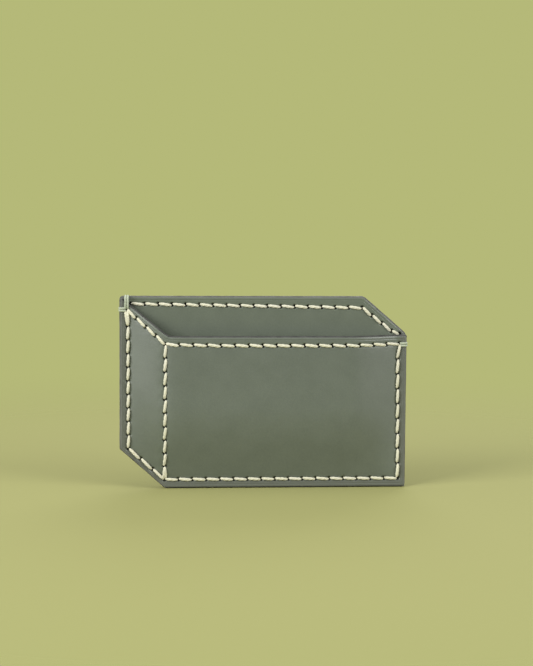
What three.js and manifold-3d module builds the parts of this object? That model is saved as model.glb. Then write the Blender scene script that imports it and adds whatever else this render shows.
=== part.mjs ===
// A flat card holder of stitched leather, whose outline and seams together draw an open box.
// Millimetres, +Z up. X runs along the width, the front faces -Y, and it stands on its bottom edge.
// Two rear leathers carry two shorter front leathers. The front pair bows forward as a pocket.

import * as THREE from "three";
import { mergeVertices } from "three/addons/utils/BufferGeometryUtils.js";
import Module from "manifold-3d";

const wasm = await Module();
wasm.setup();

// The drawn box: a front rectangle, and a side that slants up and away to the left.
const frontWidth = 92;
const frontHeight = 58.5;
const backHeight = 73;
const slantAcross = 17;
const slantUp = 15;
const mouthShift = 1.4;
const chamferAcross = 16.4;
const chamferUp = 14.2;

// Leather and edge paint.
const outerThickness = 1.3;
const liningThickness = 0.9;
const paintThickness = 0.25;

// The pocket's bow: how far the front pair stands off, and how soon inside its seams.
const pocketDepth = 5.8;
const flatSeam = 3.8;
const sideRamp = 20;
const bottomRamp = 28;
const bowPower = 0.7;
const slantColumns = 5;
const frontColumns = 22;
const bowRows = 14;

// Seam lines, as distances in from the edges.
const leftMargin = 3.4;
const rightMargin = 3.1;
const bottomMargin = 3.5;
const mouthMargin = 3.6;
const rimMargin = 4.4;
const wrapAcross = 2.7;
const wrapDown = 5;

// Thread and awl holes.
const threadRadius = 0.45;
const threadSides = 4;
const threadAtHole = 0.55;
const threadAtMiddle = 0.7;
const strandOffset = 0.42;
const passWidth = 0.6;
const holeWidth = 0.84;
const besideHole = 1.6;
const leastRoom = 1.3;

const left = -(frontWidth + slantAcross) / 2;
const right = -left;
const corner = left + slantAcross;
const top = backHeight;
const pairThickness = outerThickness + liningThickness;

const smooth = THREE.MathUtils.smoothstep;
const point = (x, z) => new THREE.Vector2(x, z);

const leather = { color: 0x6f7a6b, roughness: 0.55, metalness: 0 };
const lining = { color: 0x68725f, roughness: 0.6, metalness: 0 };
const thread = { color: 0xe4dfc4, roughness: 0.65, metalness: 0 };
const paint = { color: 0x4f4c4b, roughness: 0.4, metalness: 0 };

// Outlines, anticlockwise as seen from the front.
const rearOutline = [
  point(left, slantUp),
  point(corner, 0),
  point(right, 0),
  point(right, top - chamferUp),
  point(right - chamferAcross, top),
  point(left, top),
];
const frontOutline = [
  point(left, slantUp),
  point(corner, 0),
  point(right, 0),
  point(right, frontHeight),
  point(corner + mouthShift, frontHeight),
  point(left, top),
];

// An outline drawn in by a margin, with sharp corners.
function drawnIn(outline, margin) {
  return outline.map((at, i) => {
    const before = at.clone().sub(outline.at(i - 1)).normalize();
    const after = outline[(i + 1) % outline.length].clone().sub(at).normalize();
    const normals = point(-before.y - after.y, before.x + after.x);
    return at.clone().addScaledVector(normals, margin / (1 + before.dot(after)));
  });
}

// A bow's share of its full depth, at a distance in from an edge.
function bowShare(distance, ramp) {
  return smooth(Math.max(0, (distance - flatSeam) / ramp) ** bowPower, 0, 1);
}

// How far the front pair stands off the rear pair, at a place on the front.
function pocketGap(x, z) {
  const lowerEdge = Math.max(0, ((corner - x) * slantUp) / slantAcross);
  const sides = bowShare(x - left, sideRamp) * bowShare(right - x, sideRamp);
  return pocketDepth * sides * bowShare(z - lowerEdge, bottomRamp);
}

// Solids: geometry with merged vertices goes in, geometry comes out.
function solidOf(geometry) {
  const bare = geometry.clone();
  bare.deleteAttribute("normal");
  bare.deleteAttribute("uv");
  const merged = mergeVertices(bare, 1e-4);
  return new wasm.Manifold(
    new wasm.Mesh({
      numProp: 3,
      vertProperties: merged.attributes.position.array,
      triVerts: new Uint32Array(merged.index.array),
    }),
  );
}

function geometryOf(solid) {
  const mesh = solid.getMesh();
  const geometry = new THREE.BufferGeometry();
  geometry.setAttribute("position", new THREE.BufferAttribute(mesh.vertProperties, 3));
  geometry.setIndex(new THREE.BufferAttribute(mesh.triVerts, 1));
  geometry.computeVertexNormals();
  return geometry;
}

function joined(solids) {
  return solids.reduce((all, next) => all.add(next));
}

// A flat plate of an outline, between two depths.
function plate(outline, front, back) {
  const shape = new THREE.Shape(outline);
  const geometry = new THREE.ExtrudeGeometry(shape, {
    depth: back - front,
    bevelEnabled: false,
  });
  geometry.rotateX(Math.PI / 2);
  geometry.translate(0, back, 0);
  return geometry;
}

// A place on a line of three corners, as the columns of the bowed sheets follow it.
function alongEdge(corners, column) {
  if (column <= slantColumns) {
    return corners[0].clone().lerp(corners[1], column / slantColumns);
  }
  return corners[1].clone().lerp(corners[2], (column - slantColumns) / frontColumns);
}

// A bowed sheet between a lower and an upper edge line, from one thickness in front of the
// pocket's inner face to another.
function bowedSheet(lowerEdge, upperEdge, rows, inner, outer) {
  const columns = slantColumns + frontColumns;
  const geometry = new THREE.BoxGeometry(1, 1, 1, columns, 1, rows);
  const places = geometry.attributes.position;
  for (let i = 0; i < places.count; i += 1) {
    const column = Math.round((places.getX(i) + 0.5) * columns);
    const low = alongEdge(lowerEdge, column);
    const high = alongEdge(upperEdge, column);
    const at = low.lerp(high, Math.round((places.getZ(i) + 0.5) * rows) / rows);
    const depth = places.getY(i) > 0 ? inner : outer;
    places.setXYZ(i, at.x, -pocketGap(at.x, at.y) - depth, at.y);
  }
  return geometry;
}

// A line through given places, whose steps fall exactly on them.
class Route extends THREE.Curve {
  constructor(places) {
    super();
    this.places = places;
  }

  getPoint(t) {
    const along = t * (this.places.length - 1);
    const first = Math.min(Math.floor(along), this.places.length - 2);
    return this.places[first].clone().lerp(this.places[first + 1], along - first);
  }

  getUtoTmapping(u) {
    return u;
  }
}

function strand(places) {
  const section = new THREE.Shape();
  for (let i = 0; i < threadSides; i += 1) {
    const turn = (2 * Math.PI * i) / threadSides;
    const across = threadRadius * Math.cos(turn);
    const up = threadRadius * Math.sin(turn);
    if (i === 0) section.moveTo(across, up);
    else section.lineTo(across, up);
  }
  section.closePath();
  const geometry = new THREE.ExtrudeGeometry(section, {
    steps: places.length - 1,
    extrudePath: new Route(places),
    bevelEnabled: false,
  });
  return solidOf(geometry);
}

// The depth of a sheet's face at a place, looking from in front (side -1) or behind (side 1).
function faceOf(sheet, side) {
  const mesh = new THREE.Mesh(geometryOf(sheet));
  const caster = new THREE.Raycaster();
  return (at) => {
    caster.set(new THREE.Vector3(at.x, side * frontHeight, at.y), new THREE.Vector3(0, -side, 0));
    return caster.intersectObject(mesh)[0].point.y;
  };
}

// Places of awl holes along straight seam lines, each with its number of stitches.
function holesAlong(corners, stitches) {
  const holes = [corners[0]];
  stitches.forEach((count, i) => {
    for (let n = 1; n <= count; n += 1) {
      holes.push(corners[i].clone().lerp(corners[i + 1], n / count));
    }
  });
  return holes;
}

// The stitches on one face: they sit low at each hole and rise between two holes.
function stitchesOver(holes, face, side) {
  const places = [];
  const add = (at, height) => {
    places.push(new THREE.Vector3(at.x, face(at) + side * height, at.y));
  };
  holes.forEach((hole, i) => {
    if (i > 0) {
      add(holes[i - 1].clone().lerp(hole, 1 / 2), threadAtMiddle);
    }
    add(hole, threadAtHole);
  });
  return strand(places);
}

function bar(at, width, front, back) {
  const geometry = new THREE.BoxGeometry(width, back - front, width);
  geometry.translate(at.x, (front + back) / 2, at.y);
  return solidOf(geometry);
}

// Two strands side by side that pass from a hole round an edge to the hole's far side.
function wrapRound(hole, outward, reach, front, back) {
  const sideways = point(outward.y, outward.x);
  const steps = [
    [0, front],
    [reach + 0.25, front - 0.05],
    [reach + threadAtMiddle, front + threadAtHole],
    [reach + threadAtMiddle, back - threadAtHole],
    [reach + 0.25, back + 0.05],
    [0, back],
  ];
  return [-strandOffset, strandOffset].map((offset) =>
    strand(
      steps.map(([out, depth]) => {
        const at = hole.clone().addScaledVector(outward, out).addScaledVector(sideways, offset);
        return new THREE.Vector3(at.x, depth, at.y);
      }),
    ),
  );
}

// Leathers, before their holes are pierced.
const rearLine = drawnIn(rearOutline, paintThickness);
const frontLine = drawnIn(frontOutline, paintThickness);
const frontLower = frontLine.slice(0, 3);
const frontUpper = [frontLine[5], frontLine[4], frontLine[3]];

const rearPanel = solidOf(plate(rearLine, liningThickness, pairThickness));
const backLining = solidOf(plate(rearLine, 0, liningThickness));
const frontPair = solidOf(bowedSheet(frontLower, frontUpper, bowRows, 0, pairThickness));
const frontLining = solidOf(bowedSheet(frontLower, frontUpper, bowRows, 0, liningThickness));
const frontPanel = frontPair.subtract(frontLining);

const outerFace = faceOf(frontPanel, -1);
const pocketFace = faceOf(frontLining, 1);
const insideFace = faceOf(backLining, -1);
const rearFace = faceOf(rearPanel, 1);

// Seams.
const topLeft = point(left + wrapAcross, top - wrapDown);
const leftSecond = point(left + 3.2, top - 11.3);
const lowLeft = point(left + leftMargin, slantUp + 0.4);
const lowCorner = point(corner, bottomMargin);
const lowRight = point(right - rightMargin, bottomMargin);
const mouthRight = point(right - 2.9, frontHeight - 3.4);
const mouthCorner = point(corner + 0.2, frontHeight - 3.2);
const mouthDipLeft = point(corner + 21, frontHeight - mouthMargin);
const mouthDipRight = point(right - 24, frontHeight - mouthMargin);
const rimLeft = point(left + 4.9, top - 3.1);
const rimTurn = point(right - chamferAcross - 0.7, top - rimMargin);
const rimLast = point(right - 5.8, frontHeight + 1.3);
const rimRight = point(right - 3.4, frontHeight + 0.8);

const slantStart = mouthCorner.clone().sub(topLeft).setLength(besideHole).add(topLeft);
const mouthEnd = mouthRight.clone().add(point(-besideHole, 0));
const postTop = mouthCorner.clone().add(point(0, -besideHole));
const postFoot = lowCorner.clone().add(point(0, besideHole));

const edgeCorners = [topLeft, leftSecond, lowLeft, lowCorner, lowRight, mouthRight];
const mouthCorners = [slantStart, mouthCorner, mouthDipLeft, mouthDipRight, mouthEnd];
const edgeHoles = holesAlong(edgeCorners, [1, 9, 3, 17, 9]);
const mouthHoles = holesAlong(mouthCorners, [4, 4, 9, 4]);
const postHoles = holesAlong([postTop, postFoot], [10]);
const rimHoles = holesAlong([rimLeft, rimTurn, rimLast, rimRight], [17, 3, 1]);

// A thread through a rear pair or all four leathers, with stitches on both faces.
function throughThread(holes, frontFace) {
  const passes = holes.map((hole) =>
    bar(hole, passWidth, frontFace(hole) - threadAtHole, rearFace(hole) + threadAtHole),
  );
  const faces = [stitchesOver(holes, frontFace, -1), stitchesOver(holes, rearFace, 1)];
  return joined([...faces, ...passes]);
}

// A thread through the front pair only. Its inner stitches lie where the pocket has room.
function frontThread(holes) {
  const open = holes.filter((hole) => -pocketFace(hole) > leastRoom);
  const passes = holes.map((hole) => {
    const inside = open.includes(hole) ? threadAtHole : -liningThickness / 4;
    return bar(hole, passWidth, outerFace(hole) - threadAtHole, pocketFace(hole) + inside);
  });
  const faces = [stitchesOver(holes, outerFace, -1), stitchesOver(open, pocketFace, 1)];
  return joined([...faces, ...passes]);
}

function pierced(sheet, holes) {
  return sheet.subtract(joined(holes.map((at) => bar(at, holeWidth, -frontHeight, frontHeight))));
}

const wrapFront = -pairThickness - threadAtHole;
const wrapBack = pairThickness + threadAtHole;
const perimeterThread = joined([
  throughThread(edgeHoles, outerFace),
  ...wrapRound(topLeft, point(0, 1), top - topLeft.y, wrapFront, wrapBack),
  ...wrapRound(topLeft, point(-1, 0), topLeft.x - left, wrapFront, wrapBack),
  ...wrapRound(mouthRight, point(1, 0), right - mouthRight.x, wrapFront, wrapBack),
]);

// Edge paint: straight runs round the outside, the rim above the pocket, and the pocket's mouth.
function paintRun(first, second, start, end) {
  const inner = [frontLine[second], frontLine[first]];
  return plate([start, end, ...inner], -pairThickness, pairThickness);
}

const paintTop = point(left, frontLine[5].y);
const rimPaint = plate(
  [
    paintTop,
    frontLine[5],
    rearLine[5],
    rearLine[4],
    rearLine[3],
    frontLine[3],
    frontOutline[3],
    rearOutline[3],
    rearOutline[4],
    rearOutline[5],
  ].reverse(),
  0,
  pairThickness,
);
const mouthOutline = [frontOutline[5], frontOutline[4], frontOutline[3]];
const mouthPaint = bowedSheet(frontUpper, mouthOutline, 1, 0, pairThickness);

const group = new THREE.Group();
group.name = "card_holder";

function place(name, geometry, finish) {
  geometry.computeVertexNormals();
  const mesh = new THREE.Mesh(geometry, new THREE.MeshStandardMaterial(finish));
  mesh.name = name;
  group.add(mesh);
}

const frontHoles = [...edgeHoles, ...mouthHoles, ...postHoles];
const rearHoles = [...edgeHoles, ...rimHoles];
place("rear_panel", geometryOf(pierced(rearPanel, rearHoles)), leather);
place("back_lining", geometryOf(pierced(backLining, rearHoles)), lining);
place("front_lining", geometryOf(pierced(frontLining, frontHoles)), lining);
place("front_panel", geometryOf(pierced(frontPanel, frontHoles)), leather);
place("perimeter_thread", geometryOf(perimeterThread), thread);
place("mouth_thread", geometryOf(frontThread(mouthHoles)), thread);
place("corner_thread", geometryOf(frontThread(postHoles)), thread);
place("rim_thread", geometryOf(throughThread(rimHoles, insideFace)), thread);
place("edge_paint_left", paintRun(5, 0, paintTop, frontOutline[0]), paint);
place("edge_paint_lower_left", paintRun(0, 1, frontOutline[0], frontOutline[1]), paint);
place("edge_paint_bottom", paintRun(1, 2, frontOutline[1], frontOutline[2]), paint);
place("edge_paint_right", paintRun(2, 3, frontOutline[2], frontOutline[3]), paint);
place("edge_paint_rim", rimPaint, paint);
place("edge_paint_mouth", mouthPaint, paint);

// The frame's origin is under the middle of the whole depth.
group.updateMatrixWorld(true);
const middle = new THREE.Box3().setFromObject(group).getCenter(new THREE.Vector3());
group.position.set(-middle.x, -middle.y, 0);

export default group;
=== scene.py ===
"""The looks of a hand-stitched leather card holder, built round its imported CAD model."""

import math
import random

import bpy
import numpy as np
from mathutils import Matrix, Quaternion, Vector, noise


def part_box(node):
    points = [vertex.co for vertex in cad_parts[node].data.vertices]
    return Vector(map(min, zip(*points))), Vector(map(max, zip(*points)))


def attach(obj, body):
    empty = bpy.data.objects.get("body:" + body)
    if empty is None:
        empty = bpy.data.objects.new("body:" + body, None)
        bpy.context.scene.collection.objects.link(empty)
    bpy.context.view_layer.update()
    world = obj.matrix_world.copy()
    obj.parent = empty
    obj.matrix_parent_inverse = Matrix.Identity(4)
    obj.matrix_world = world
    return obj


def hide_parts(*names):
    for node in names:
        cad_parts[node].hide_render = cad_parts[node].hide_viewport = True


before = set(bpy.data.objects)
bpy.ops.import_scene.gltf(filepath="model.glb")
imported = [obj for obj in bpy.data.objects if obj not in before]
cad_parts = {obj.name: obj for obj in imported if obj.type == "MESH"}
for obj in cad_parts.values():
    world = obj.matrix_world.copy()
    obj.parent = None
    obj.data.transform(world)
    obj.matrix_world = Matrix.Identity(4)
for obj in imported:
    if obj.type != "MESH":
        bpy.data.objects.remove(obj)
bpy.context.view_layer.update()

MM = 0.001
QUARTER = math.pi / 2

# Places on the holder, taken from the frame. Seams and outlines are lists of (x, z) corners.
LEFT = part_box("edge_paint_left")[0].x
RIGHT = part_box("edge_paint_right")[1].x
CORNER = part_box("edge_paint_bottom")[0].x
SLANT_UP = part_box("edge_paint_left")[0].z
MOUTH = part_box("edge_paint_right")[1].z
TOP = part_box("edge_paint_rim")[1].z
SEAM_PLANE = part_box("back_lining")[0].y
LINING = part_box("back_lining")[1].y - SEAM_PLANE
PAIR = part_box("rear_panel")[1].y - SEAM_PLANE
CHAMFER_ACROSS = 16.4 * MM
CHAMFER_UP = 14.2 * MM

# The pocket's bow, as the CAD front has it. It is flat along the seams, and ramps up from there.
POCKET_DEPTH = 5.8 * MM
FLAT_SEAM = 3.8 * MM
SIDE_RAMP = 20 * MM
BOTTOM_RAMP = 28 * MM
BOW_POWER = 0.7

# Corners of the seam lines.
TOP_LEFT = (LEFT + 2.7 * MM, TOP - 5 * MM)
LEFT_SECOND = (LEFT + 3.2 * MM, TOP - 11.3 * MM)
RIGHT_SECOND = (RIGHT - 3.6 * MM, MOUTH - 9.2 * MM)
LOW_LEFT = (LEFT + 3.4 * MM, SLANT_UP + 0.4 * MM)
LOW_CORNER = (CORNER, 3.5 * MM)
LOW_RIGHT = (RIGHT - 3.1 * MM, 3.5 * MM)
MOUTH_RIGHT = (RIGHT - 2.9 * MM, MOUTH - 3.4 * MM)
MOUTH_CORNER = (CORNER + 0.2 * MM, MOUTH - 3.2 * MM)
MOUTH_DIP_LEFT = (CORNER + 21 * MM, MOUTH - 3.6 * MM)
MOUTH_DIP_RIGHT = (RIGHT - 24 * MM, MOUTH - 3.6 * MM)
RIM_LEFT = (LEFT + 4.3 * MM, TOP - 3 * MM)
RIM_TURN = (RIGHT - CHAMFER_ACROSS - 0.7 * MM, TOP - 4.4 * MM)
RIM_LAST = (RIGHT - 5.7 * MM, MOUTH + 1.2 * MM)
RIM_RIGHT = (RIGHT - 2.7 * MM, MOUTH + 0.1 * MM)

# Each seam: its corners, and how many stitches lie between each two of them.
EDGE_SEAM = (
    [TOP_LEFT, LEFT_SECOND, LOW_LEFT, LOW_CORNER, LOW_RIGHT, RIGHT_SECOND, MOUTH_RIGHT],
    [1, 9, 3, 17, 8, 1],
)
MOUTH_SEAM = (
    [TOP_LEFT, MOUTH_CORNER, MOUTH_DIP_LEFT, MOUTH_DIP_RIGHT, MOUTH_RIGHT],
    [4, 4, 9, 4],
)
POST_SEAM = ([MOUTH_CORNER, LOW_CORNER], [10])
RIM_SEAM = ([RIM_LEFT, RIM_TURN, RIM_LAST, RIM_RIGHT], [17, 3, 1])

# Outlines run anticlockwise as seen from the front. Each of their corners has a radius.
REAR_OUTLINE = [
    (LEFT, SLANT_UP),
    (CORNER, 0),
    (RIGHT, 0),
    (RIGHT, TOP - CHAMFER_UP),
    (RIGHT - CHAMFER_ACROSS, TOP),
    (LEFT, TOP),
]
REAR_CORNER_RADII = [0.8 * MM, 0.8 * MM, 0.8 * MM, 2.2 * MM, 2.6 * MM, 0.9 * MM]
FRONT_OUTLINE = [
    (LEFT, SLANT_UP),
    (CORNER, 0),
    (RIGHT, 0),
    (RIGHT, MOUTH),
    (CORNER + 1.4 * MM, MOUTH),
    (LEFT, TOP),
]
FRONT_CORNER_RADII = [0.8 * MM, 0.8 * MM, 0.8 * MM, 0.5 * MM, 5 * MM, 0.5 * MM]
ARC_STEPS = 6

# The edge that the perimeter thread sews, with all four leathers in it.
SEWN_EDGE = [(LEFT, TOP), (LEFT, SLANT_UP), (CORNER, 0), (RIGHT, 0), (RIGHT, MOUTH)]


# ---------------------------------------------------------------- small tools


def deselect():
    for thing in bpy.context.selected_objects:
        thing.select_set(False)


def only(thing):
    """Makes one object the selected and active one."""
    deselect()
    thing.select_set(True)
    bpy.context.view_layer.objects.active = thing


def edit(thing, mode="FACE"):
    """Opens one mesh in edit mode, to pick by face, edge or vertex."""
    only(thing)
    bpy.ops.object.mode_set(mode="EDIT")
    bpy.ops.mesh.select_mode(type=mode)


def done():
    bpy.ops.object.mode_set(mode="OBJECT")


def applied(thing, kind, **settings):
    """Adds a modifier, sets it and applies it."""
    only(thing)
    modifier = thing.modifiers.new(kind.lower(), kind)
    for key, value in settings.items():
        setattr(modifier, key, value)
    bpy.ops.object.modifier_apply(modifier=modifier.name)


def places_of(mesh):
    places = np.zeros(len(mesh.vertices) * 3)
    mesh.vertices.foreach_get("co", places)
    return places.reshape(-1, 3)


def put_places(mesh, places):
    mesh.vertices.foreach_set("co", places.astype(np.float32).ravel())
    mesh.update()


def measure(mesh, name, values):
    """Stores one number for each vertex, for a material to read."""
    attribute = mesh.attributes.new(name, "FLOAT", "POINT")
    attribute.data.foreach_set("value", values.astype(np.float32))


def smooth(value, low, high):
    """0 up to low, 1 from high on, and an S-curve between them."""
    share = np.clip((value - low) / (high - low), 0, 1)
    return share * share * (3 - 2 * share)


def gap_to_line(x, z, start, end):
    """Distance from places to a straight piece of line."""
    start, end = np.array(start), np.array(end)
    along = end - start
    share = ((x - start[0]) * along[0] + (z - start[1]) * along[1]) / along.dot(along)
    share = np.clip(share, 0, 1)
    return np.hypot(x - start[0] - share * along[0], z - start[1] - share * along[1])


def gap_to_lines(x, z, corners, closed=False):
    ends = corners[1:] + corners[:1] if closed else corners[1:]
    return np.min([gap_to_line(x, z, a, b) for a, b in zip(corners, ends)], axis=0)


def holes_along(seam):
    """The awl holes of a seam, in order."""
    corners, counts = seam
    holes = [np.array(corners[0])]
    for start, end, count in zip(corners, corners[1:], counts):
        start, end = np.array(start), np.array(end)
        holes += [start + (end - start) * n / count for n in range(1, count + 1)]
    return holes


def rounded(outline, radii):
    """An outline with an arc of each radius at its corners."""
    points = []
    for i, radius in enumerate(radii):
        at = Vector(outline[i])
        back = (Vector(outline[i - 1]) - at).normalized()
        on = (Vector(outline[(i + 1) % len(outline)]) - at).normalized()
        half = back.angle(on) / 2
        reach = radius / math.tan(half)
        centre = at + (back + on).normalized() * radius / math.sin(half)
        first, last = at + back * reach - centre, at + on * reach - centre
        turn = first.angle_signed(last)
        for step in range(ARC_STEPS + 1):
            arm = first.copy()
            arm.rotate(Matrix.Rotation(-turn * step / ARC_STEPS, 2))
            points.append(tuple(centre + arm))
    return points


def bow_share(distance, ramp):
    """A bow's share of its full depth, at a distance in from an edge."""
    return smooth(np.maximum(0, (distance - FLAT_SEAM) / ramp) ** BOW_POWER, 0, 1)


def pocket_gap(x, z):
    """How far the front pair stands off the back, at a place on the front."""
    lower = np.maximum(0, (CORNER - x) * SLANT_UP / (CORNER - LEFT))
    sides = bow_share(x - LEFT, SIDE_RAMP) * bow_share(RIGHT - x, SIDE_RAMP)
    return POCKET_DEPTH * sides * bow_share(z - lower, BOTTOM_RAMP)


# ---------------------------------------------------------------- camera

CAMERA_TARGET = Vector((1.0 * MM, SEAM_PLANE, 59 * MM))
CAMERA_AROUND = math.radians(-4.2)
CAMERA_UP = math.radians(5)
CAMERA_AWAY = 0.6
CAMERA_ROLL = math.radians(0.37)
CAMERA_LENS = 85.6


def aim_camera():
    """Looks at the front from slightly to its left and slightly above."""
    flat = math.cos(CAMERA_UP)
    back = Vector(
        (math.sin(CAMERA_AROUND) * flat, -math.cos(CAMERA_AROUND) * flat, math.sin(CAMERA_UP))
    )
    bpy.ops.object.camera_add(location=CAMERA_TARGET + back * CAMERA_AWAY)
    camera = bpy.context.object
    camera.name = "camera"
    turn = (-back).to_track_quat("-Z", "Y") @ Quaternion((0, 0, 1), CAMERA_ROLL)
    camera.rotation_euler = turn.to_euler()
    camera.data.sensor_width = 36
    camera.data.lens = CAMERA_LENS
    camera.data.clip_start = 0.01
    bpy.context.scene.camera = camera


aim_camera()


# ---------------------------------------------------------------- leather

LEATHER_INSET = 0.4 * MM
GRID_STEP = 1 * MM
ROUGH_SHEET = 1 * MM
SAME_PLACE = 0.02 * MM
ON_THE_CUT = 1e-6

# How near in millimetres to a seam, an edge or a hole each round of refining halves the grid.
REFINING = ((2.4, 1.6, 2.6), (1.2, 0.8, 1.4), (0, 0, 0.9))

# How a turned-over edge falls away: from how far in, and by which share of a full quarter round.
EDGE_ROUND = 0.7 * MM
EDGE_FALL = 0.45

# How the stitches press the leather in: depth and reach, along a seam and at a hole.
SEAM_SINK = (0.16 * MM, 1.0 * MM)
EDGE_SEAM_SINK = (0.22 * MM, 2.0 * MM)
HOLE_SINK = (0.24 * MM, 1.5 * MM)
HOLE_REACH = 4 * MM

# The raised lip round a hole, and the hole itself, from its floor's radius to its rim's.
LIP_HEIGHT = 0.12 * MM
LIP_RADIUS = 1.15 * MM
LIP_WIDTH = 0.4 * MM
HOLE_DEEP = 1.1 * MM
HOLE_FLOOR = 0.4 * MM
HOLE_RIM = 1.0 * MM

# The hide's own ups and downs: height, and the scales of its slow and its quicker noise.
UNEVEN = 0.05 * MM
SLOW_SCALE = 55
QUICK_SCALE = 160
QUICK_SHARE = 0.4

# The painted contact shade, nearly black, along a leather's lowest edge is whole up to one height,
# and gone at the next.
LEATHER_CONTACT_SHADE = (0.45 * MM, 0.8 * MM)


def drawn_in(outline, margin):
    """An outline, anticlockwise from the front, moved inwards with its corners kept."""
    corners = [Vector(at) for at in outline]
    moved = []
    for i, at in enumerate(corners):
        before = (at - corners[i - 1]).normalized()
        after = (corners[(i + 1) % len(corners)] - at).normalized()
        normals = Vector((-before.y - after.y, before.x + after.x))
        moved.append(tuple(at + normals * margin / (1 + before.dot(after))))
    return moved


def inside(x, z, outline):
    """True for the places that an outline holds."""
    held = np.zeros(len(x), bool)
    for (ax, az), (bx, bz) in zip(outline, outline[1:] + outline[:1]):
        if az != bz:
            crosses = (az > z) != (bz > z)
            held ^= crosses & (x < ax + (z - az) * (bx - ax) / (bz - az))
    return held


def centres_of(mesh):
    centres = np.zeros(len(mesh.polygons) * 3)
    mesh.polygons.foreach_get("center", centres)
    return centres.reshape(-1, 3)


def pick_faces(thing, picked):
    """Selects just these faces, in object mode."""
    mesh = thing.data
    mesh.vertices.foreach_set("select", np.zeros(len(mesh.vertices), bool))
    mesh.edges.foreach_set("select", np.zeros(len(mesh.edges), bool))
    mesh.polygons.foreach_set("select", picked)


def cut_sheet(name, outline):
    """A flat gridded sheet, facing the front, cut to an outline by straight cuts."""
    bpy.ops.mesh.primitive_grid_add(
        x_subdivisions=round((RIGHT - LEFT) / GRID_STEP),
        y_subdivisions=round(TOP / GRID_STEP),
        size=1,
        location=((LEFT + RIGHT) / 2, 0, TOP / 2),
        rotation=(QUARTER, 0, 0),
    )
    sheet = bpy.context.object
    sheet.name = name
    sheet.scale = (RIGHT - LEFT, TOP, 1)
    bpy.ops.object.transform_apply(location=True, rotation=True, scale=True)
    corners = np.array(outline)
    edit(sheet)
    for start, end in zip(corners, np.roll(corners, -1, axis=0)):
        outward = np.array((end[1] - start[1], start[0] - end[0]))
        if np.hypot(*outward) < 1e-7:
            continue
        supports = ((corners - start) @ outward).max() < 1e-9
        bpy.ops.mesh.select_all(action="SELECT")
        bpy.ops.mesh.bisect(
            plane_co=(start[0], 0, start[1]),
            plane_no=(outward[0], 0, outward[1]),
            clear_outer=bool(supports),
            threshold=ON_THE_CUT,
        )
    done()
    centres = centres_of(sheet.data)
    pick_faces(sheet, ~inside(centres[:, 0], centres[:, 2], outline))
    edit(sheet)
    bpy.ops.mesh.delete(type="FACE")
    bpy.ops.mesh.select_all(action="SELECT")
    bpy.ops.mesh.remove_doubles(threshold=SAME_PLACE)
    done()
    return sheet


def refine(sheet, outline, seams):
    """Halves the grid near seams and edges, and again close to them and at the holes."""
    for from_seam, from_edge, from_hole in REFINING:
        centres = centres_of(sheet.data)
        x, z = centres[:, 0], centres[:, 2]
        near = gap_to_lines(x, z, outline, closed=True) < from_edge * MM
        for seam in seams:
            near |= gap_to_lines(x, z, seam[0]) < from_seam * MM
            for hole in holes_along(seam):
                near |= np.hypot(x - hole[0], z - hole[1]) < from_hole * MM
        pick_faces(sheet, near)
        edit(sheet)
        bpy.ops.mesh.subdivide(number_cuts=1, ngon=False)
        done()


def bell(distance, size):
    """A bell curve. size is its height and its reach, where a third of the height is left."""
    height, reach = size
    return height * np.exp(-((distance / reach) ** 2))


def pressed(x, z, seams):
    """How deep the stitches pull a face in, and how much each place belongs to a hole."""
    sunk = np.zeros(len(x))
    pit = np.zeros(len(x))
    for seam in seams:
        to_line = gap_to_lines(x, z, seam[0])
        sunk = np.maximum(sunk, bell(to_line, SEAM_SINK))
        if seam is EDGE_SEAM:
            sunk += bell(to_line, EDGE_SEAM_SINK)
        for hole in holes_along(seam):
            near = np.hypot(x - hole[0], z - hole[1])
            close = near < HOLE_REACH
            pull = bell(near[close], HOLE_SINK)
            pull -= bell(near[close] - LIP_RADIUS, (LIP_HEIGHT, LIP_WIDTH))
            sunk[close] = np.maximum(sunk[close], pull)
            pit[close] = np.maximum(pit[close], 1 - smooth(near[close], HOLE_FLOOR, HOLE_RIM))
    return sunk + HOLE_DEEP * pit, pit


def unevenness(x, z):
    """The slow ups and downs of a hide, as a share."""
    slow = [noise.noise(Vector((a, 0.3, b)) * SLOW_SCALE) for a, b in zip(x, z)]
    quick = [noise.noise(Vector((a, 0.7, b)) * QUICK_SCALE) for a, b in zip(x, z)]
    return np.array(slow) + QUICK_SHARE * np.array(quick)


def leather(name, outline, radii, front_face, rear_face, front_seams=(), rear_seams=()):
    """A leather sheet between two faces, each a depth at (x, z). Stitched faces are pressed in
    at their seams and turned over at their edges. A face with no seams is glued to its neighbour."""
    edge = rounded(drawn_in(outline, LEATHER_INSET), radii)
    sheet = cut_sheet(name, edge)
    refine(sheet, edge, [*front_seams, *rear_seams])
    applied(sheet, "SOLIDIFY", thickness=ROUGH_SHEET, offset=-1)
    places = places_of(sheet.data)
    is_front = places[:, 1] < ROUGH_SHEET / 2
    all_pits = np.zeros(len(places))
    to_edge = gap_to_lines(places[:, 0], places[:, 2], edge, closed=True)
    for side, face, seams, inwards in (
        (is_front, front_face, front_seams, 1),
        (~is_front, rear_face, rear_seams, -1),
    ):
        x, z = places[side, 0], places[side, 2]
        depth = face(x, z)
        if seams:
            sunk, pit = pressed(x, z, seams)
            fall = EDGE_ROUND - np.minimum(to_edge[side], EDGE_ROUND)
            turned = (EDGE_ROUND - np.sqrt(EDGE_ROUND**2 - fall**2)) * EDGE_FALL
            depth = depth + inwards * (sunk + turned + UNEVEN * unevenness(x, z))
            all_pits[side] = pit
        places[side, 1] = depth
    put_places(sheet.data, places)
    measure(sheet.data, "rim", to_edge / MM)
    measure(sheet.data, "hem", gap_to_lines(places[:, 0], places[:, 2], SEWN_EDGE) / MM)
    measure(sheet.data, "contact_shade", 1 - smooth(places[:, 2], *LEATHER_CONTACT_SHADE))
    measure(sheet.data, "pit", all_pits)
    only(sheet)
    bpy.ops.object.shade_smooth_by_angle(angle=math.radians(50))
    return sheet


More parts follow.
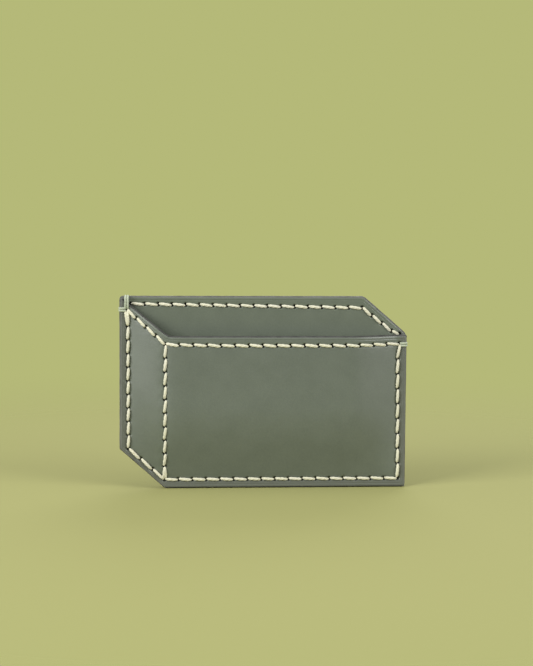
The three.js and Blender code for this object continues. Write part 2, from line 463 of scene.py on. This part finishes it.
# The faces of the leathers, from the front to the rear: a depth for each place.


def panel_face(x, z):
    return SEAM_PLANE - PAIR - pocket_gap(x, z)


def glued_front(x, z):
    return SEAM_PLANE - LINING - pocket_gap(x, z)


def pocket_face(x, z):
    return SEAM_PLANE - pocket_gap(x, z)


def inside_face(x, z):
    return SEAM_PLANE + 0 * x


def glued_rear(x, z):
    return SEAM_PLANE + LINING + 0 * x


def rear_face(x, z):
    return SEAM_PLANE + PAIR + 0 * x


def make_leathers():
    """The four leathers, from the front to the rear."""
    front = (FRONT_OUTLINE, FRONT_CORNER_RADII)
    rear = (REAR_OUTLINE, REAR_CORNER_RADII)
    front_seams = [EDGE_SEAM, MOUTH_SEAM, POST_SEAM]
    rear_seams = [EDGE_SEAM, RIM_SEAM]
    return {
        "front_panel": leather("panel_front", *front, panel_face, glued_front, front_seams),
        "front_lining": leather("lining_front", *front, glued_front, pocket_face),
        "back_lining": leather("lining_back", *rear, inside_face, glued_rear, [RIM_SEAM]),
        "rear_panel": leather("panel_rear", *rear, glued_rear, rear_face, (), rear_seams),
    }


# ---------------------------------------------------------------- edge paint

# The bead's mesh: its steps along the edge, its rows across it, and its wall.
BEAD_STEP = 1 * MM
PAINT_ROWS = 12
PAINT_WALL = 0.5 * MM

# It stands proud in the middle and tucks in at both sides. A higher power makes it squarer.
PAINT_PROUD = 0.5 * MM
PAINT_TUCK = 0.1 * MM
BEAD_POWER = 2.6
WOBBLE = 0.15
WOBBLE_SCALE = 300

# The painted contact shade, nearly black, along the paint's lowest edge is whole up to one height,
# and gone at the next.
PAINT_CONTACT_SHADE = (0.35 * MM, 0.6 * MM)


def stepped(corners, step):
    """A line with places put in along its straight stretches."""
    places = []
    for start, end in zip(corners, corners[1:]):
        start, end = np.array(start), np.array(end)
        count = max(1, round(np.linalg.norm(end - start) / step))
        places += [start + (end - start) * n / count for n in range(count)]
    return np.array([*places, corners[-1]])


def painted_edge(name, corners, front, back, joints, gap=None):
    """A rounded bead of edge paint along a line of corners, from one depth to another. joints
    are the depths where two leathers meet under it. gap says how far it bows to the front."""
    line = stepped(corners, BEAD_STEP)
    bpy.ops.mesh.primitive_circle_add(vertices=len(line), radius=1)
    bead = bpy.context.object
    bead.name = name
    put_places(bead.data, np.stack([line[:, 0], np.full(len(line), front), line[:, 1]], axis=1))
    edit(bead, "EDGE")
    bpy.ops.mesh.select_all(action="DESELECT")
    done()
    for side in bead.data.edges:
        side.select = set(side.vertices) == {0, len(line) - 1}
    edit(bead, "EDGE")
    bpy.ops.mesh.delete(type="EDGE")
    bpy.ops.mesh.select_all(action="SELECT")
    row = (0, (back - front) / PAINT_ROWS, 0)
    for _ in range(PAINT_ROWS):
        bpy.ops.mesh.extrude_region_move(TRANSFORM_OT_translate={"value": row})
    done()
    along = np.gradient(line, axis=0)
    along /= np.linalg.norm(along, axis=1)[:, None]
    places = places_of(bead.data)
    at = ((places[:, None, [0, 2]] - line[None]) ** 2).sum(axis=2).argmin(axis=1)
    across = 2 * (places[:, 1] - front) / (back - front) - 1
    lumps = np.array([noise.noise(Vector(place) * WOBBLE_SCALE) for place in places])
    wobble = 1 + WOBBLE * lumps
    full = PAINT_PROUD * (1 - np.abs(across) ** BEAD_POWER) * wobble
    proud = full - (PAINT_PROUD - LEATHER_INSET)
    places[:, 0] += along[at, 1] * proud
    places[:, 2] -= along[at, 0] * proud
    to_joint = np.min([np.abs(places[:, 1] - joint) for joint in joints], axis=0)
    places[:, 1] -= across * PAINT_TUCK * np.abs(across)
    if gap:
        places[:, 1] -= gap(line[at, 0], line[at, 1])
    places[:, 2] = np.maximum(places[:, 2], 0)
    put_places(bead.data, places)
    measure(bead.data, "joint", to_joint / MM)
    measure(bead.data, "contact_shade", 1 - smooth(places[:, 2], *PAINT_CONTACT_SHADE))
    applied(bead, "SOLIDIFY", thickness=PAINT_WALL, offset=1)
    edit(bead)
    bpy.ops.mesh.select_all(action="SELECT")
    bpy.ops.mesh.normals_make_consistent(inside=False)
    done()
    bpy.ops.object.shade_smooth_by_angle(angle=math.radians(60))
    return bead


def make_edges():
    """The painted edges: all four leathers, the rear pair's rim, and the front pair's mouth."""
    rear = rounded(drawn_in(REAR_OUTLINE, LEATHER_INSET), REAR_CORNER_RADII)
    front = rounded(drawn_in(FRONT_OUTLINE, LEATHER_INSET), FRONT_CORNER_RADII)
    lower_corners = 3
    upper = lower_corners * (ARC_STEPS + 1)
    right_end = (RIGHT - LEATHER_INSET, MOUTH - 0.3 * MM)
    around = [rear[-1], *rear[:upper], right_end]
    rim = [right_end, *rear[upper:]]
    mouth = front[upper:]
    fore, aft = SEAM_PLANE - PAIR, SEAM_PLANE + PAIR
    glue_fore, glue_aft = SEAM_PLANE - LINING, SEAM_PLANE + LINING
    all_joints = [glue_fore, SEAM_PLANE, glue_aft]
    runs = ("edge_paint_left", "edge_paint_lower_left", "edge_paint_bottom", "edge_paint_right")
    paint_mouth = painted_edge("paint_mouth", mouth, fore, SEAM_PLANE, [glue_fore], pocket_gap)
    return {
        runs: painted_edge("paint_around", around, fore, aft, all_joints),
        ("edge_paint_rim",): painted_edge("paint_rim", rim, SEAM_PLANE, aft, [glue_aft]),
        ("edge_paint_mouth",): paint_mouth,
    }


# ---------------------------------------------------------------- thread

STRAND_SIDES = 15
STRAND_RINGS = 19
PLIES = 3
PLY_SWELL = 0.09
DIVE_POWER = 6
THREAD_WIDE = 0.56 * MM
THREAD_TALL = 0.46 * MM
TWIST_LENGTH = 4.7 * MM

# A stitch ends this far from each hole's centre. Its foot lies below its face, and it rises
# from there by a number of millimetres. Its ends are thinner than its middle. Its lean and
# rise in millimetres and its thickness as a share each differ by up to STRAY.
END_ROOM = 0.41 * MM
STITCH_FOOT = 0.75 * MM
STITCH_RISE = 0.95
END_WIDTH = 0.45
WIDTH_POWER = 1.3
STRAY = 0.05

# A stitch inside the pocket is left out where the pocket is tighter than this.
LEAST_ROOM = 1.3 * MM

# How far the stitches lean across their seam, to either side: the perimeter's, those of the
# mouth and the rim, and the corner's.
EDGE_LEAN = 0.19 * MM
UPPER_LEAN = 0.27 * MM
POST_LEAN = 0.26 * MM

# The stitches that are sewn twice, by number, with how far aside each end lies in millimetres.
EDGE_TWICE = {0: (0.45, 0.12)}
POST_TWICE = {9: (0.1, 0.4)}

# A wrap is two strands, each this far aside, pulled tight round an edge.
WRAP_ASIDE = 0.44 * MM
WRAP_LOWERED = 0.3 * MM
WRAP_WIDE = 0.40 * MM
WRAP_TALL = 0.38 * MM
WRAP_PROUD = 0.22 * MM
WRAP_TURNS = 3
WRAP_STAIN = 0.75


def make_blank():
    """One straight strand, a ringed cylinder, that every stitch is a shaped copy of."""
    bpy.ops.mesh.primitive_cylinder_add(vertices=STRAND_SIDES, radius=1, depth=1)
    blank = bpy.context.object
    blank.name = "strand_blank"
    edit(blank, "EDGE")
    bpy.ops.mesh.select_all(action="DESELECT")
    done()
    places = places_of(blank.data)
    for side in blank.data.edges:
        low, high = (places[i][2] for i in side.vertices)
        side.select = bool(abs(low - high) > 0.5)
    edit(blank, "EDGE")
    bpy.ops.mesh.subdivide(number_cuts=STRAND_RINGS - 2)
    done()
    bpy.ops.object.shade_smooth()
    return blank


def shaped_strand(blank, line, across, wide, tall, turns, start_turn, shade, stain=0):
    """A copy of the blank laid along a line of rings that stays square to across, with its plies
    twisted round it."""
    piece = blank.copy()
    piece.data = blank.data.copy()
    bpy.context.collection.objects.link(piece)
    places = places_of(piece.data)
    ring = np.rint((places[:, 2] + 0.5) * (STRAND_RINGS - 1)).astype(int)
    angle = np.arctan2(places[:, 1], places[:, 0])
    along = np.gradient(line, axis=0)
    along /= np.linalg.norm(along, axis=1)[:, None]
    away = np.cross(along, across)
    away /= np.linalg.norm(away, axis=1)[:, None]
    steps = np.linalg.norm(np.diff(line, axis=0), axis=1)
    length = np.concatenate(([0], np.cumsum(steps)))
    twist = start_turn + turns * 2 * math.pi * length[ring] / length[-1]
    ply = np.cos(PLIES * (angle - twist))
    swell = 1 + PLY_SWELL * ply
    places = (
        line[ring]
        + (wide[ring] * swell * np.cos(angle))[:, None] * across
        + (tall[ring] * swell * np.sin(angle))[:, None] * away[ring]
    )
    put_places(piece.data, places)
    half = np.abs(2 * ring / (STRAND_RINGS - 1) - 1)
    measure(piece.data, "ply", ply)
    measure(piece.data, "shade", np.full(len(places), shade))
    measure(piece.data, "dive", half**DIVE_POWER)
    measure(piece.data, "stain", np.full(len(places), stain))
    return piece


def stitch(blank, start, end, face, side, lean, luck, aside=(0, 0)):
    """One stitch between two holes. It leans across its seam, and dives into both holes.
    side is -1 on a face that looks to the front, and 1 on one that looks to the rear. aside is
    how far its two ends lie to the side, where a stitch is sewn twice."""
    run = (end - start) / np.linalg.norm(end - start)
    cross = np.array((-run[1], run[0]))
    swing = math.pi * np.linspace(0, 1, STRAND_RINGS)
    share = (1 - np.cos(swing)) / 2
    rise = np.sqrt(np.sin(swing).clip(0))
    lean += luck.uniform(-STRAY, STRAY) * MM
    ends = (
        start + run * END_ROOM + cross * (lean + aside[0]),
        end - run * END_ROOM - cross * (lean - aside[1]),
    )
    places = ends[0] + (ends[1] - ends[0]) * share[:, None]
    fat = 1 + luck.uniform(-STRAY, STRAY)
    height = -STITCH_FOOT + (STITCH_RISE + luck.uniform(-STRAY, STRAY)) * MM * rise
    depth = face(places[:, 0], places[:, 1]) + side * height
    line = np.stack([places[:, 0], depth, places[:, 1]], axis=1)
    width = (END_WIDTH + (1 - END_WIDTH) * rise**WIDTH_POWER) * fat
    return shaped_strand(
        blank,
        line,
        np.array((cross[0], 0, cross[1])),
        THREAD_WIDE * width,
        THREAD_TALL * width,
        turns=-np.linalg.norm(end - start) / TWIST_LENGTH + luck.uniform(-0.15, 0.15),
        start_turn=luck.uniform(0, 2),
        shade=luck.random(),
    )


def stitches(blank, seam, face, side, lean, luck, room=None, twice=None):
    """The stitches of a seam on one face. Where room is given, only those that have it.
    twice names the stitches that are sewn twice, with how far aside each end lies."""
    holes = holes_along(seam)
    made = []
    for number, (start, end) in enumerate(zip(holes, holes[1:])):
        if room and min(room(*start), room(*end)) < LEAST_ROOM:
            continue
        if twice and number in twice:
            aside = np.array(twice[number]) * MM
            made.append(stitch(blank, start, end, face, side, 0, luck, aside))
            made.append(stitch(blank, start, end, face, side, 0, luck, -aside))
        else:
            made.append(stitch(blank, start, end, face, side, lean, luck))
    return made


def wrap(blank, hole, outward, reach, front, back, offset, luck):
    """A strand that goes from a hole round the edge to the hole's other side, pulled tight.
    reach is how far the edge is, and front and back are the depths of the outer faces."""
    sideways = np.array((outward[1], outward[0]))
    half = [
        (0.4 * MM, 0.9 * MM),
        (0.6 * MM, -WRAP_PROUD * 0.3),
        (reach * 0.6, -WRAP_PROUD),
        (reach - 0.55 * MM, -WRAP_PROUD * 0.4),
        (reach - 0.08 * MM, 0.6 * MM),
    ]
    key = [(out, front + into) for out, into in half]
    key.append((reach, (front + back) / 2))
    key += [(out, back - into) for out, into in reversed(half)]
    out, depth = np.array(key).T
    spread = np.linspace(0, len(key) - 1, STRAND_RINGS)
    out = np.interp(spread, range(len(key)), out)
    depth = np.interp(spread, range(len(key)), depth)
    flat = np.array(hole) + out[:, None] * np.array(outward) + sideways * offset
    line = np.stack([flat[:, 0], depth, flat[:, 1]], axis=1)
    return shaped_strand(
        blank,
        line,
        np.array((sideways[0], 0, sideways[1]), float),
        np.full(STRAND_RINGS, WRAP_WIDE),
        np.full(STRAND_RINGS, WRAP_TALL),
        turns=WRAP_TURNS,
        start_turn=luck.uniform(0, 2),
        shade=luck.random(),
        stain=WRAP_STAIN,
    )


def joined(name, parts):
    deselect()
    for part in parts:
        part.select_set(True)
    bpy.context.view_layer.objects.active = parts[0]
    bpy.ops.object.join()
    whole = bpy.context.object
    whole.name = name
    return whole


def make_threads():
    """The four threads: stitches on both faces, and the wraps that lock the perimeter thread."""
    luck = random.Random(7)
    blank = make_blank()
    front, back = SEAM_PLANE - PAIR, SEAM_PLANE + PAIR
    edge = stitches(blank, EDGE_SEAM, panel_face, -1, EDGE_LEAN, luck, twice=EDGE_TWICE)
    edge += stitches(blank, EDGE_SEAM, rear_face, 1, EDGE_LEAN, luck, twice=EDGE_TWICE)
    for hole, outward, reach, shift in (
        (TOP_LEFT, (0, 1), TOP - TOP_LEFT[1], 0),
        (TOP_LEFT, (-1, 0), TOP_LEFT[0] - LEFT, 0),
        (MOUTH_RIGHT, (1, 0), RIGHT - MOUTH_RIGHT[0], -WRAP_LOWERED),
    ):
        for offset in (shift - WRAP_ASIDE, shift + WRAP_ASIDE):
            edge.append(wrap(blank, hole, outward, reach, front, back, offset, luck))
    mouth = stitches(blank, MOUTH_SEAM, panel_face, -1, UPPER_LEAN, luck)
    mouth += stitches(blank, MOUTH_SEAM, pocket_face, 1, UPPER_LEAN, luck, pocket_gap)
    post = stitches(blank, POST_SEAM, panel_face, -1, POST_LEAN, luck, twice=POST_TWICE)
    post += stitches(blank, POST_SEAM, pocket_face, 1, POST_LEAN, luck, pocket_gap)
    rim = stitches(blank, RIM_SEAM, inside_face, -1, UPPER_LEAN, luck)
    rim += stitches(blank, RIM_SEAM, rear_face, 1, UPPER_LEAN, luck)
    bpy.data.objects.remove(blank)
    return {
        "perimeter_thread": joined("thread_perimeter", edge),
        "mouth_thread": joined("thread_mouth", mouth),
        "corner_thread": joined("thread_corner", post),
        "rim_thread": joined("thread_rim", rim),
    }


# ---------------------------------------------------------------- finishes

# Each pair is a darker and a lighter colour that a finish drifts between.
OUTER_GREENS = ((0.108, 0.126, 0.099), (0.118, 0.137, 0.108))
LINING_GREENS = ((0.107, 0.126, 0.093), (0.117, 0.137, 0.101))
CREAMS = ((0.63, 0.617, 0.468), (0.65, 0.633, 0.505))
RIM_GREYS = ((0.088, 0.089, 0.079), (0.132, 0.134, 0.120))
MOUTH_GREYS = ((0.046, 0.046, 0.042), (0.070, 0.071, 0.064))
GROUND_OLIVES = ((0.330, 0.328, 0.132), (0.342, 0.340, 0.138))

# The ground is solid up to one distance from the holder's middle, and gone at the next.
GROUND_FADE = (0.06, 0.42)

GRAIN_DARK = (0.86, 0.86, 0.86)
GRAIN_LIGHT = (1.12, 1.12, 1.12)
HEM_GREY = (0.102, 0.108, 0.090)
# A light grey painted highlight for the leather's turned edge.
EDGE_HIGHLIGHT_GREY = (0.20, 0.205, 0.19)
# Painted shade inside the awl holes.
HOLE_SHADE_BLACK = (0.018, 0.017, 0.015)
# Painted contact shade along the edge that the holder stands on.
CONTACT_SHADE_BLACK = (0.010, 0.010, 0.008)
CONTACT_SHADE_SHARE = 0.85
CREASE_IN = 1.15
# Painted shade for the grooves between the thread's plies.
GROOVE_SHADE_TAN = (0.46, 0.42, 0.27)
BLOTCH_TAN = (0.55, 0.50, 0.34)
BURIED_BROWN = (0.20, 0.17, 0.10)
WRAP_GREEN = (0.31, 0.37, 0.27)
JOINT_SHADE = 0.6


class Finish:
    """A material and a short way to add its nodes."""

    def __init__(self, name):
        self.material = bpy.data.materials.new(name)
        self.material.use_nodes = True
        self.nodes = self.material.node_tree.nodes
        self.shader = self.nodes["Principled BSDF"]
        self.places = self.nodes.new("ShaderNodeTexCoord").outputs["Object"]

    def link(self, source, target):
        self.material.node_tree.links.new(source, target)

    def put(self, socket, value):
        if isinstance(value, bpy.types.NodeSocket):
            self.link(value, socket)
        else:
            socket.default_value = value

    def maths(self, operation, first, second=0.0, third=0.0):
        """One step of arithmetic on numbers or sockets."""
        made = self.nodes.new("ShaderNodeMath")
        made.operation = operation
        for socket, value in zip(made.inputs, (first, second, third)):
            self.put(socket, value)
        return made.outputs[0]

    def grain(self, scale, detail=2.0, roughness=0.5):
        """Noise from 0 to 1. Scale is in cells for each metre."""
        made = self.nodes.new("ShaderNodeTexNoise")
        made.inputs["Scale"].default_value = scale
        made.inputs["Detail"].default_value = detail
        made.inputs["Roughness"].default_value = roughness
        self.link(self.places, made.inputs["Vector"])
        return made.outputs["Fac"]

    def cells(self, scale):
        """Distance from the middles of scattered cells. Scale is in cells for each metre."""
        made = self.nodes.new("ShaderNodeTexVoronoi")
        made.inputs["Scale"].default_value = scale
        self.link(self.places, made.inputs["Vector"])
        return made.outputs["Distance"]

    def stored(self, name):
        """A number that the mesh holds at each vertex."""
        made = self.nodes.new("ShaderNodeAttribute")
        made.attribute_name = name
        return made.outputs["Fac"]

    def spread(self, value, low, high, to_low=0.0, to_high=1.0):
        """Turns one range of a value into another, with soft ends."""
        made = self.nodes.new("ShaderNodeMapRange")
        made.interpolation_type = "SMOOTHSTEP"
        for socket, number in zip(made.inputs, (value, low, high, to_low, to_high)):
            self.put(socket, number)
        return made.outputs[0]

    def mixed(self, share, first, second, blend="MIX"):
        """Blends two colours."""
        made = self.nodes.new("ShaderNodeMix")
        made.data_type = "RGBA"
        made.blend_type = blend
        self.put(made.inputs["Factor"], share)
        for socket, value in zip((made.inputs[6], made.inputs[7]), (first, second)):
            self.put(socket, (*value, 1) if isinstance(value, tuple) else value)
        return made.outputs[2]

    def bump(self, height, distance, strength, under=None):
        """Tips the light as a height would, on top of the bump under it."""
        made = self.nodes.new("ShaderNodeBump")
        made.inputs["Strength"].default_value = strength
        made.inputs["Distance"].default_value = distance
        self.link(height, made.inputs["Height"])
        if under:
            self.link(under, made.inputs["Normal"])
        return made.outputs["Normal"]

    def finish(self, colour, roughness, normal, **constants):
        """Links the three made inputs, and sets the constant ones."""
        self.link(colour, self.shader.inputs["Base Color"])
        self.link(roughness, self.shader.inputs["Roughness"])
        self.link(normal, self.shader.inputs["Normal"])
        for name, value in constants.items():
            self.shader.inputs[name.replace("_", " ")].default_value = value
        return self.material


def smooth_leather(name, greens):
    """Fine-grained, satin, grey-green leather. It is greyer in the pressed hem outside the perimeter
    seam. A painted highlight makes it lighter grey at the turned edge, and painted shade makes it
    nearly black in the holes and along the edge it stands on. A heated crease line runs close to the
    edge."""
    skin = Finish(name)
    patches = skin.spread(skin.grain(90, 3, 0.6), 0.3, 0.7)
    specks = skin.grain(1400, 3, 0.6)
    rim = skin.stored("rim")
    pit = skin.stored("pit")
    colour = skin.mixed(patches, *greens)
    lift = skin.mixed(specks, GRAIN_DARK, GRAIN_LIGHT)
    colour = skin.mixed(1.0, colour, lift, "MULTIPLY")
    pressed_hem = skin.spread(skin.stored("hem"), 2.4, 3.5, 0.75, 0.0)
    colour = skin.mixed(pressed_hem, colour, HEM_GREY)
    # Painted highlight: the turned edge is mixed towards a light grey.
    edge_highlight = skin.spread(rim, 0.05, 0.55, 0.4, 0.0)
    colour = skin.mixed(edge_highlight, colour, EDGE_HIGHLIGHT_GREY)
    # Painted contact shade: nearly black along the edge that the holder stands on.
    contact_shade = skin.maths("MULTIPLY", skin.stored("contact_shade"), CONTACT_SHADE_SHARE)
    colour = skin.mixed(contact_shade, colour, CONTACT_SHADE_BLACK)
    # Painted shade: the leather darkens towards black inside the awl holes.
    colour = skin.mixed(skin.spread(pit, 0.35, 1.0, 0.0, 0.65), colour, HOLE_SHADE_BLACK)
    shine = skin.spread(skin.grain(260, 2), 0.25, 0.75, 0.37, 0.45)
    crease = skin.maths("ABSOLUTE", skin.maths("SUBTRACT", rim, CREASE_IN))
    crease = skin.spread(crease, 0.0, 0.3)
    pores = skin.spread(skin.cells(2300), 0.05, 0.5)
    hide = skin.maths("MULTIPLY_ADD", skin.grain(700, 4, 0.6), 0.8, pores)
    normal = skin.bump(hide, 0.03 * MM, 0.55)
    normal = skin.bump(crease, 0.10 * MM, 0.7, normal)
    return skin.finish(colour, shine, normal, Specular_IOR_Level=0.6)


def waxed_thread(name):
    """Twisted cream thread, with painted shade in the grooves between its plies, and dirtier where
    it goes into a hole. The wraps are stained a dull green."""
    cord = Finish(name)
    ply = cord.stored("ply")
    shade = cord.stored("shade")
    colour = cord.mixed(shade, *CREAMS)
    # Painted shade: the grooves between the plies are darkened.
    groove_shade = cord.spread(ply, -1.0, 0.1, 0.25, 0.0)
    colour = cord.mixed(groove_shade, colour, GROOVE_SHADE_TAN)
    blotch = cord.spread(cord.grain(500, 3, 0.6), 0.45, 0.75, 0.0, 0.2)
    colour = cord.mixed(blotch, colour, BLOTCH_TAN)
    buried = cord.spread(cord.stored("dive"), 0.2, 0.95, 0.0, 0.45)
    colour = cord.mixed(buried, colour, BURIED_BROWN)
    colour = cord.mixed(cord.stored("stain"), colour, WRAP_GREEN)
    shine = cord.spread(cord.grain(900), 0.3, 0.7, 0.5, 0.7)
    fibres = cord.grain(5200, 3, 0.7)
    twist = cord.maths("MULTIPLY_ADD", ply, 0.5, fibres)
    normal = cord.bump(twist, 0.06 * MM, 0.6)
    return cord.finish(
        colour, shine, normal, Specular_IOR_Level=0.35, Sheen_Weight=0.15, Sheen_Roughness=0.5
    )


def edge_paint(name, greys):
    """Paint burnished over the cut edges, with faint lines where two leathers meet. Painted contact
    shade makes the edge that the holder stands on almost black."""
    coat = Finish(name)
    colour = coat.mixed(coat.spread(coat.grain(240, 3), 0.3, 0.7), *greys)
    line = coat.spread(coat.stored("joint"), 0.02, 0.2)
    colour = coat.mixed(line, tuple(JOINT_SHADE * c for c in greys[0]), colour)
    # Painted contact shade: nearly black along the edge that the holder stands on.
    contact_shade = coat.maths("MULTIPLY", coat.stored("contact_shade"), CONTACT_SHADE_SHARE)
    colour = coat.mixed(contact_shade, colour, CONTACT_SHADE_BLACK)
    shine = coat.spread(coat.grain(700), 0.3, 0.7, 0.55, 0.7)
    normal = coat.bump(line, 0.05 * MM, 0.6)
    normal = coat.bump(coat.grain(900, 3), 0.06 * MM, 0.5, normal)
    return coat.finish(colour, shine, normal, Specular_IOR_Level=0.22)


def pale_ground(name):
    """A pale, matt floor that fades out into the room away from the holder."""
    ground = Finish(name)
    colour = ground.mixed(ground.grain(3, 2), *GROUND_OLIVES)
    ground.link(colour, ground.shader.inputs["Base Color"])
    length = ground.nodes.new("ShaderNodeVectorMath")
    length.operation = "LENGTH"
    ground.link(ground.places, length.inputs[0])
    solid = ground.spread(length.outputs["Value"], *GROUND_FADE, 1.0, 0.0)
    ground.link(solid, ground.shader.inputs["Alpha"])
    ground.shader.inputs["Roughness"].default_value = 0.9
    ground.shader.inputs["Specular IOR Level"].default_value = 0.1
    return ground.material


def dress(piece, material):
    piece.data.materials.clear()
    piece.data.materials.append(material)


# ---------------------------------------------------------------- stage

FLOOR_RADIUS = 3
LIGHTS_AIM = Vector((0, 0, 30 * MM))
ROOM_WALLS = (0.462, 0.485, 0.190)
ROOM_FILL = (0.28, 0.28, 0.27)

# Each soft light: its name, place, size in metres and power in watts.
LIGHTS = (
    ("left_light", (-0.84, -0.54, 0.42), 0.65, 12.9),
    ("right_light", (0.84, -0.54, 0.42), 0.6, 8),
    ("top_light", (0, -0.1, 1.2), 0.9, 5.2),
    ("back_light", (0.25, 0.9, 0.6), 0.8, 5),
)


def make_stage():
    bpy.ops.mesh.primitive_circle_add(vertices=96, radius=FLOOR_RADIUS, fill_type="NGON")
    floor = bpy.context.object
    floor.name = "floor"
    return floor


def softbox(name, place, size, power):
    """A square soft light that looks at the holder."""
    bpy.ops.object.light_add(type="AREA", location=place)
    lamp = bpy.context.object
    lamp.name = name
    lamp.data.size = size
    lamp.data.energy = power
    aim = LIGHTS_AIM - Vector(place)
    lamp.rotation_euler = aim.to_track_quat("-Z", "Y").to_euler()


def light_room(walls, fill):
    """A plain pale room all round, whose soft fill light is more neutral than its walls."""
    room = bpy.data.worlds.new("room")
    room.use_nodes = True
    nodes, links = room.node_tree.nodes, room.node_tree.links
    rays = nodes.new("ShaderNodeLightPath")
    blend = nodes.new("ShaderNodeMix")
    blend.data_type = "RGBA"
    blend.inputs[6].default_value = (*fill, 1)
    blend.inputs[7].default_value = (*walls, 1)
    links.new(rays.outputs["Is Camera Ray"], blend.inputs["Factor"])
    links.new(blend.outputs[2], nodes["Background"].inputs["Color"])
    bpy.context.scene.world = room


floor = make_stage()
dress(floor, pale_ground("ground"))
bpy.context.scene.view_settings.view_transform = "Standard"
light_room(ROOM_WALLS, ROOM_FILL)
for light in LIGHTS:
    softbox(*light)


# ---------------------------------------------------------------- the whole holder

outer_leather = smooth_leather("outer_leather", OUTER_GREENS)
lining_leather = smooth_leather("lining_leather", LINING_GREENS)
cream = waxed_thread("cream_thread")
rim_paint = edge_paint("rim_paint", RIM_GREYS)
mouth_paint = edge_paint("mouth_paint", MOUTH_GREYS)
leathers = make_leathers()
edges = make_edges()
threads = make_threads()

for node, thread in threads.items():
    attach(thread, "root")
    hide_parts(node)
    dress(thread, cream)

for node, sheet in leathers.items():
    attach(sheet, "root")
    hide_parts(node)
    dress(sheet, lining_leather if "lining" in node else outer_leather)

for nodes, bead in edges.items():
    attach(bead, "root")
    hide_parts(*nodes)
    dress(bead, mouth_paint if "edge_paint_mouth" in nodes else rim_paint)
